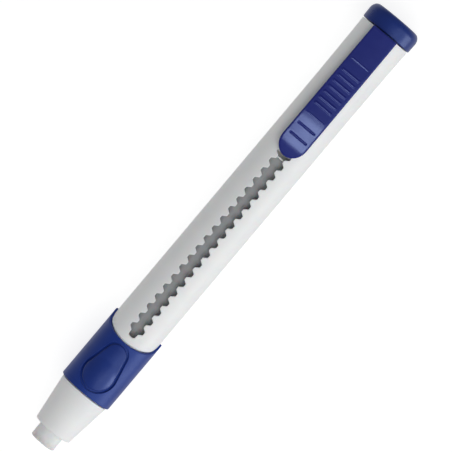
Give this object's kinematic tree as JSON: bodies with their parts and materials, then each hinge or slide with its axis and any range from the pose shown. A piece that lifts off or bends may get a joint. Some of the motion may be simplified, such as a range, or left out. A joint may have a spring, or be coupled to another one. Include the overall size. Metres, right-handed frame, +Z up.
{
  "type": "stick eraser holder",
  "caption": "Pen-shaped stick-eraser holder: white toothed barrel, sliding latch clip, blue grip, white tapered nose and round refill.",
  "frame": {"origin": "on the desk plane, under the middle of the overall length, on the holder's centre plane", "axes": "the holder lies on its back: +X along the barrel from the eraser to the end cap, +Z up through the slot and the clip, +Y to the side"},
  "size_m": [0.1244, 0.0134, 0.0174],
  "materials": {
    "barrel_white": "smooth moulded white, lightly glossy",
    "nose_white": "smooth moulded white, lightly glossy",
    "grip_blue": "satin soft-touch blue",
    "pad_blue": "satin soft-touch blue, crowned",
    "cap_navy": "smooth moulded dark blue",
    "clip_navy": "smooth moulded dark blue with raised ribs",
    "natural_plastic": "natural off-white moulding",
    "spring_steel": "drawn spring wire",
    "eraser_vinyl": "soft off-white vinyl, slightly translucent"
  },
  "bodies": {
    "holder": {"barrel": "barrel_white", "nose_cone": "nose_white", "grip_sleeve": "grip_blue", "front_grip_pad": "pad_blue", "back_grip_pad": "pad_blue", "end_cap": "cap_navy"},
    "carriage": {"eraser_carrier": "natural_plastic", "return_spring": "spring_steel"},
    "slider": {"slide_clip": "clip_navy", "latch_foot": "natural_plastic"},
    "refill": {"eraser_stick": "eraser_vinyl"}
  },
  "joints": [
    {"name": "carriage_slide", "type": "slide", "parent": "holder", "child": "carriage", "axis": [-1, 0, 0], "range_m": [0, 0.05094]},
    {"name": "clip_press", "type": "hinge", "parent": "carriage", "child": "slider", "pos_m": [0.05275, 0, 0.01045], "axis": [0, -1, 0], "range_deg": [0, 2.63], "stiffness_Nm_per_rad": 0.6, "deforming": ["return_spring"]},
    {"name": "eraser_pull", "type": "slide", "parent": "carriage", "child": "refill", "axis": [-1, 0, 0], "range_m": [0, 0.0082]}
  ]
}
